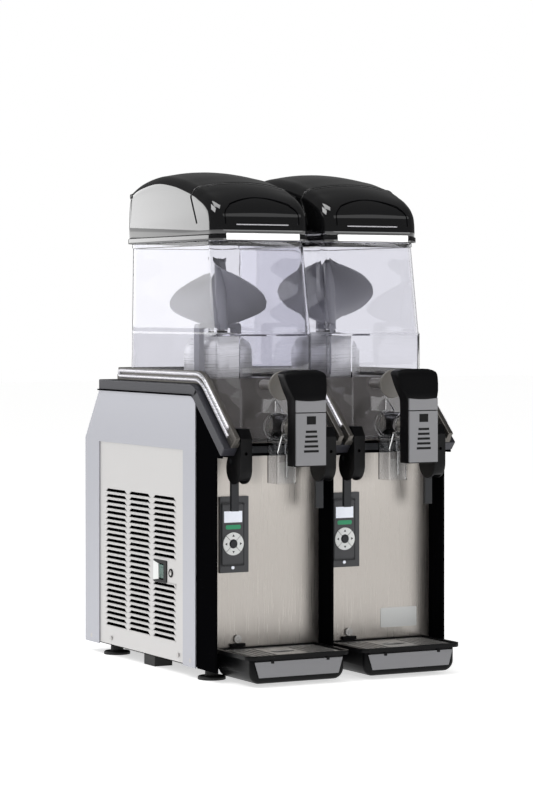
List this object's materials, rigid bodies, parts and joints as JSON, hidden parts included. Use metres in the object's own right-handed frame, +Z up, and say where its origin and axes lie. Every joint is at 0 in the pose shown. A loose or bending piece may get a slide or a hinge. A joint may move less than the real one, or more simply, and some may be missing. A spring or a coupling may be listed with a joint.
{
  "type": "slushie machine",
  "caption": "Countertop slush freezer: two tall clear bowls with vertical augers under black domed lids, lever taps over slotted drip trays, on a steel housing with louvred sides.",
  "frame": {"origin": "on the table, under the middle of the machine's bounding box", "axes": "+X to the right as seen from the front, -Y to the front where the taps are, +Z up"},
  "size_m": [0.4, 0.563, 0.762],
  "materials": {
    "silver_paint": "satin",
    "brushed_steel": "brushed",
    "black_plastic": "satin",
    "gloss_black": "gloss",
    "grey_plastic": "satin",
    "dark_grey": "satin",
    "light_grey": "satin",
    "clear_plastic": "clear",
    "black_rubber": "matte",
    "zinc_steel": "satin",
    "white_plastic": "gloss",
    "green_plastic": "gloss",
    "display": "gloss",
    "copper": "satin"
  },
  "bodies": {
    "housing": {"base_pan": "black_plastic", "bowl_gaskets": "black_rubber", "bowl_seat_left": "brushed_steel", "bowl_seat_right": "brushed_steel", "compressor": "gloss_black", "condenser": "zinc_steel", "control_plates": "dark_grey", "display_windows": "display", "evaporators": "brushed_steel", "fan_motor": "zinc_steel", "feet": "black_rubber", "front_frame": "black_plastic", "front_panels": "brushed_steel", "gearmotors": "zinc_steel", "keypad_rings": "white_plastic", "latch_ears": "black_plastic", "louvre_panels": "brushed_steel", "panel_screws": "zinc_steel", "power_inlet": "black_plastic", "rear_panel": "silver_paint", "refrigerant_pipes": "copper", "shaft_seals": "black_rubber", "side_panels": "silver_paint", "switch_bezel": "black_plastic", "top_deck": "dark_grey", "tray_hooks": "black_plastic"},
    "fan": {"fan_blade": "black_plastic"},
    "switch": {"switch_rocker": "green_plastic"},
    "bowl_unit_left": {"bowl_left": "clear_plastic", "tap_body_left": "clear_plastic", "bowl_plug_left": "grey_plastic", "handle_pin_left": "zinc_steel"},
    "lid_unit_left": {"lid_left": "gloss_black", "lid_light_left": "white_plastic"},
    "auger_unit_left": {"auger_left": "grey_plastic", "drive_shaft_left": "brushed_steel"},
    "piston_unit_left": {"piston_left": "grey_plastic"},
    "handle_unit_left": {"handle_left": "black_plastic", "handle_plate_left": "grey_plastic"},
    "latch_unit_left": {"latch_bail_left": "dark_grey"},
    "tray_unit_left": {"tray_left": "black_plastic", "tray_plate_left": "grey_plastic"},
    "grate_unit_left": {"grate_left": "brushed_steel"},
    "button_unit_left": {"button_left": "dark_grey"},
    "bowl_unit_right": {"bowl_right": "clear_plastic", "tap_body_right": "clear_plastic", "bowl_plug_right": "grey_plastic", "handle_pin_right": "zinc_steel"},
    "lid_unit_right": {"lid_right": "gloss_black", "lid_light_right": "white_plastic"},
    "auger_unit_right": {"auger_right": "grey_plastic", "drive_shaft_right": "brushed_steel"},
    "piston_unit_right": {"piston_right": "grey_plastic"},
    "handle_unit_right": {"handle_right": "black_plastic", "handle_plate_right": "grey_plastic"},
    "latch_unit_right": {"latch_bail_right": "dark_grey"},
    "tray_unit_right": {"tray_right": "black_plastic", "tray_plate_right": "grey_plastic"},
    "grate_unit_right": {"grate_right": "brushed_steel"},
    "button_unit_right": {"button_right": "dark_grey"}
  },
  "joints": [
    {"name": "fan_spin", "type": "hinge", "parent": "housing", "child": "fan", "pos_m": [-0.126, 0.135, 0.17], "axis": [1, 0, 0], "continuous": true},
    {"name": "switch_rock", "type": "hinge", "parent": "housing", "child": "switch", "pos_m": [-0.1919, 0.007, 0.15], "axis": [0, 1, 0], "range_deg": [0, 18]},
    {"name": "bowl_lift_left", "type": "slide", "parent": "housing", "child": "bowl_unit_left", "axis": [0, 0, 1], "range_m": [0, 0.19]},
    {"name": "lid_lift_left", "type": "slide", "parent": "bowl_unit_left", "child": "lid_unit_left", "axis": [0, 0, 1], "range_m": [0, 0.12]},
    {"name": "auger_spin_left", "type": "hinge", "parent": "housing", "child": "auger_unit_left", "pos_m": [-0.095, 0.015, 0.5], "axis": [0, 0, 1], "continuous": true},
    {"name": "handle_pull_left", "type": "hinge", "parent": "bowl_unit_left", "child": "handle_unit_left", "pos_m": [-0.095, -0.24, 0.344], "axis": [1, 0, 0], "range_deg": [0, 25], "stiffness_Nm_per_rad": 0.8, "springref_deg": -20.05},
    {"name": "piston_slide_left", "type": "slide", "parent": "bowl_unit_left", "child": "piston_unit_left", "axis": [0, -1, 0], "range_m": [0, 0.015]},
    {"name": "latch_swing_left", "type": "hinge", "parent": "housing", "child": "latch_unit_left", "pos_m": [-0.095, -0.18, 0.326], "axis": [1, 0, 0], "range_deg": [-20, 0]},
    {"name": "tray_slide_left", "type": "slide", "parent": "housing", "child": "tray_unit_left", "axis": [0, -1, 0], "range_m": [0, 0.12]},
    {"name": "grate_lift_left", "type": "slide", "parent": "tray_unit_left", "child": "grate_unit_left", "axis": [0, 0, 1], "range_m": [0, 0.06]},
    {"name": "button_press_left", "type": "slide", "parent": "housing", "child": "button_unit_left", "axis": [0, 1, 0], "range_m": [0, 0.0008], "stiffness_N_per_m": 400, "springref_m": -0.0005},
    {"name": "bowl_lift_right", "type": "slide", "parent": "housing", "child": "bowl_unit_right", "axis": [0, 0, 1], "range_m": [0, 0.19]},
    {"name": "lid_lift_right", "type": "slide", "parent": "bowl_unit_right", "child": "lid_unit_right", "axis": [0, 0, 1], "range_m": [0, 0.12]},
    {"name": "auger_spin_right", "type": "hinge", "parent": "housing", "child": "auger_unit_right", "pos_m": [0.095, 0.015, 0.5], "axis": [0, 0, 1], "continuous": true},
    {"name": "handle_pull_right", "type": "hinge", "parent": "bowl_unit_right", "child": "handle_unit_right", "pos_m": [0.095, -0.24, 0.344], "axis": [1, 0, 0], "range_deg": [0, 25], "stiffness_Nm_per_rad": 0.8, "springref_deg": -20.05},
    {"name": "piston_slide_right", "type": "slide", "parent": "bowl_unit_right", "child": "piston_unit_right", "axis": [0, -1, 0], "range_m": [0, 0.015]},
    {"name": "latch_swing_right", "type": "hinge", "parent": "housing", "child": "latch_unit_right", "pos_m": [0.095, -0.18, 0.326], "axis": [1, 0, 0], "range_deg": [-20, 0]},
    {"name": "tray_slide_right", "type": "slide", "parent": "housing", "child": "tray_unit_right", "axis": [0, -1, 0], "range_m": [0, 0.12]},
    {"name": "grate_lift_right", "type": "slide", "parent": "tray_unit_right", "child": "grate_unit_right", "axis": [0, 0, 1], "range_m": [0, 0.06]},
    {"name": "button_press_right", "type": "slide", "parent": "housing", "child": "button_unit_right", "axis": [0, 1, 0], "range_m": [0, 0.0008], "stiffness_N_per_m": 400, "springref_m": -0.0005}
  ],
  "couplings": [
    {"joint": "piston_slide_left", "follows": "handle_pull_left", "m_per_rad": 0.033},
    {"joint": "piston_slide_right", "follows": "handle_pull_right", "m_per_rad": 0.033}
  ]
}
